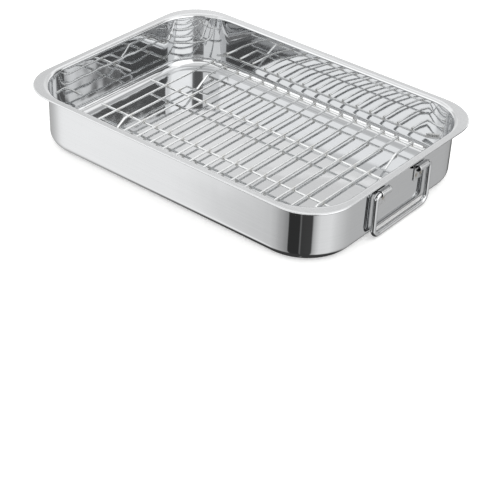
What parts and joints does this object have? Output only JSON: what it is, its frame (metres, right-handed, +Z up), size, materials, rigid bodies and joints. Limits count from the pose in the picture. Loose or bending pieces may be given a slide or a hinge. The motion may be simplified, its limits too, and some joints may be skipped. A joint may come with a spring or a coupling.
{
  "type": "roasting pan",
  "caption": "Mirror polished steel roasting pan with a flat rim, drop handles hinged on the end walls and a loose wire rack that lifts out.",
  "frame": {"origin": "middle of the pan's underside, where it stands on the table", "axes": "+X along the pan towards the handle seen in the picture, +Y across it towards the far side, +Z up"},
  "size_m": [0.4, 0.285, 0.064],
  "materials": {
    "polished_steel": "mirror polished stainless steel sheet",
    "bracket_steel": "satin stainless steel strip",
    "handle_steel": "polished stainless steel bar",
    "rack_wire": "bright plated steel wire"
  },
  "bodies": {
    "pan": {"pan_body": "polished_steel", "right_bracket_left": "bracket_steel", "right_bracket_right": "bracket_steel", "left_bracket_left": "bracket_steel", "left_bracket_right": "bracket_steel"},
    "right_bail": {"right_bail_handle": "handle_steel"},
    "left_bail": {"left_bail_handle": "handle_steel"},
    "rack": {"rack_cross_wire_01": "rack_wire", "rack_foot_wire_02": "rack_wire", "rack_cross_wire_03": "rack_wire", "rack_cross_wire_04": "rack_wire", "rack_cross_wire_05": "rack_wire", "rack_cross_wire_06": "rack_wire", "rack_cross_wire_07": "rack_wire", "rack_cross_wire_08": "rack_wire", "rack_cross_wire_09": "rack_wire", "rack_cross_wire_10": "rack_wire", "rack_cross_wire_11": "rack_wire", "rack_cross_wire_12": "rack_wire", "rack_cross_wire_13": "rack_wire", "rack_cross_wire_14": "rack_wire", "rack_cross_wire_15": "rack_wire", "rack_foot_wire_16": "rack_wire", "rack_cross_wire_17": "rack_wire", "rack_long_wire_1": "rack_wire", "rack_long_wire_2": "rack_wire", "rack_long_wire_3": "rack_wire", "rack_long_wire_4": "rack_wire"}
  },
  "joints": [
    {"name": "right_bail_swing", "type": "hinge", "parent": "pan", "child": "right_bail", "pos_m": [0.19509, 0, 0.04926], "axis": [0, -1, 0], "range_deg": [0, 140]},
    {"name": "left_bail_swing", "type": "hinge", "parent": "pan", "child": "left_bail", "pos_m": [-0.19509, 0, 0.04926], "axis": [0, 1, 0], "range_deg": [0, 140]},
    {"name": "rack_lift", "type": "slide", "parent": "pan", "child": "rack", "axis": [0, 0, 1], "range_m": [0, 0.07]}
  ]
}
